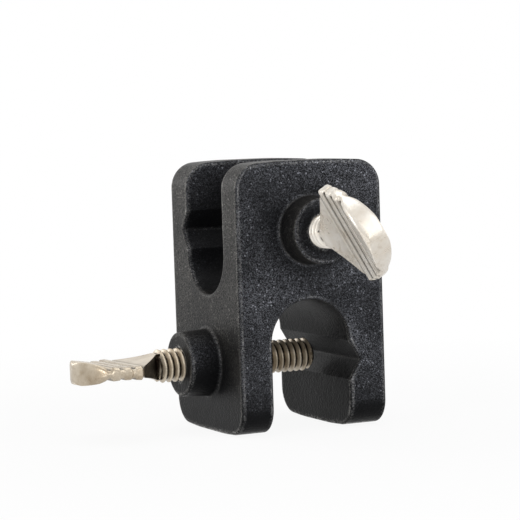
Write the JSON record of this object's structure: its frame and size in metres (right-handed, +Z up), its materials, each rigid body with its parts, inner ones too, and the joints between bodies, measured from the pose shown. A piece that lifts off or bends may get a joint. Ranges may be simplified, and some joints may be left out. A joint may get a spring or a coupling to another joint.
{
  "type": "boss head clamp",
  "caption": "Right-angle boss head: a black coated casting with crossed open slots, V-grooved walls and winged thumb screws that clamp rods.",
  "frame": {"origin": "middle of the casting's footprint, midway between its two feet, on the plane they stand on", "axes": "+Z up, out through the upper slot; +Y along the lower slot, away from the upper screw; +X along the upper slot, away from the lower screw"},
  "size_m": [0.0573, 0.0555, 0.0508],
  "materials": {
    "black_powder_coat": "fine-textured black powder coat over cast metal",
    "nickel_plate": "bright warm nickel plate over steel"
  },
  "bodies": {
    "casting": {"clamp_body": "black_powder_coat"},
    "upper_screw": {"upper_thumb_screw": "nickel_plate"},
    "lower_screw": {"lower_thumb_screw": "nickel_plate"}
  },
  "joints": [
    {"name": "upper_screw_travel", "type": "slide", "parent": "casting", "child": "upper_screw", "axis": [0, -1, 0], "range_m": [0, 0.0167]},
    {"name": "lower_screw_travel", "type": "slide", "parent": "casting", "child": "lower_screw", "axis": [-1, 0, 0], "range_m": [-0.0018, 0.0149]}
  ]
}
